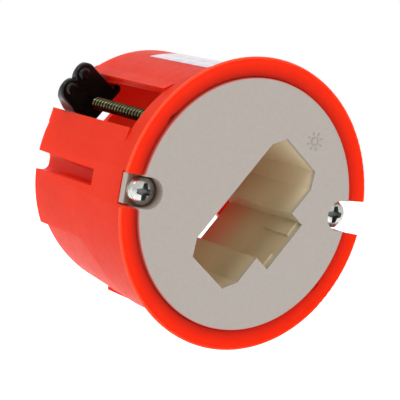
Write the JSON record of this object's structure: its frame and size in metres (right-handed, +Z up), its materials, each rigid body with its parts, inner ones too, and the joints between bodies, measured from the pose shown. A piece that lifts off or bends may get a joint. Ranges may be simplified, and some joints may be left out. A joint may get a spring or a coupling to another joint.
{
  "type": "wall light outlet box",
  "caption": "Round hollow-wall box for a wall light: flanged moulded shell with screw-driven wall claws and a flat cover holding a keyed outlet well.",
  "frame": {"origin": "on the box's axis, in the plane of the flange's back, which is the wall's surface", "axes": "+Y into the wall along the box's axis, X through the two cover screws with +X to the right as seen from the room, +Z up"},
  "size_m": [0.0746, 0.0504, 0.0752],
  "materials": {
    "red_shell": "satin moulded",
    "grey_cover": "fine matt moulded",
    "label_paper": "satin film",
    "bright_screw": "bright nickel plated",
    "zinc_screw": "yellow passivated zinc",
    "black_claw": "smooth"
  },
  "bodies": {
    "box": {"box_shell": "red_shell", "cover": "grey_cover", "label": "label_paper"},
    "left_cover_screw": {"cover_screw_left": "bright_screw"},
    "right_cover_screw": {"cover_screw_right": "bright_screw"},
    "upper_claw_screw": {"claw_screw_upper": "zinc_screw"},
    "lower_claw_screw": {"claw_screw_lower": "zinc_screw"},
    "upper_claw": {"claw_upper": "black_claw"},
    "lower_claw": {"claw_lower": "black_claw"}
  },
  "joints": [
    {"name": "cover_screw_left_turn", "type": "hinge", "parent": "box", "child": "left_cover_screw", "pos_m": [-0.03, 0, 0], "axis": [0, 1, 0], "continuous": true},
    {"name": "cover_screw_right_turn", "type": "hinge", "parent": "box", "child": "right_cover_screw", "pos_m": [0.03, 0, 0], "axis": [0, 1, 0], "continuous": true},
    {"name": "claw_screw_upper_turn", "type": "hinge", "parent": "box", "child": "upper_claw_screw", "pos_m": [-0.02442, 0, 0.01742], "axis": [0, 1, 0], "range_deg": [0, 7200]},
    {"name": "claw_screw_lower_turn", "type": "hinge", "parent": "box", "child": "lower_claw_screw", "pos_m": [0.02442, 0, -0.01742], "axis": [0, 1, 0], "range_deg": [0, 7200]},
    {"name": "claw_upper_slide", "type": "slide", "parent": "box", "child": "upper_claw", "axis": [0, -1, 0], "range_m": [0, 0.0276]},
    {"name": "claw_lower_slide", "type": "slide", "parent": "box", "child": "lower_claw", "axis": [0, -1, 0], "range_m": [0, 0.0276]}
  ],
  "couplings": [
    {"joint": "claw_screw_upper_turn", "follows": "claw_upper_slide", "rad_per_m": 4553},
    {"joint": "claw_screw_lower_turn", "follows": "claw_lower_slide", "rad_per_m": 4553}
  ]
}
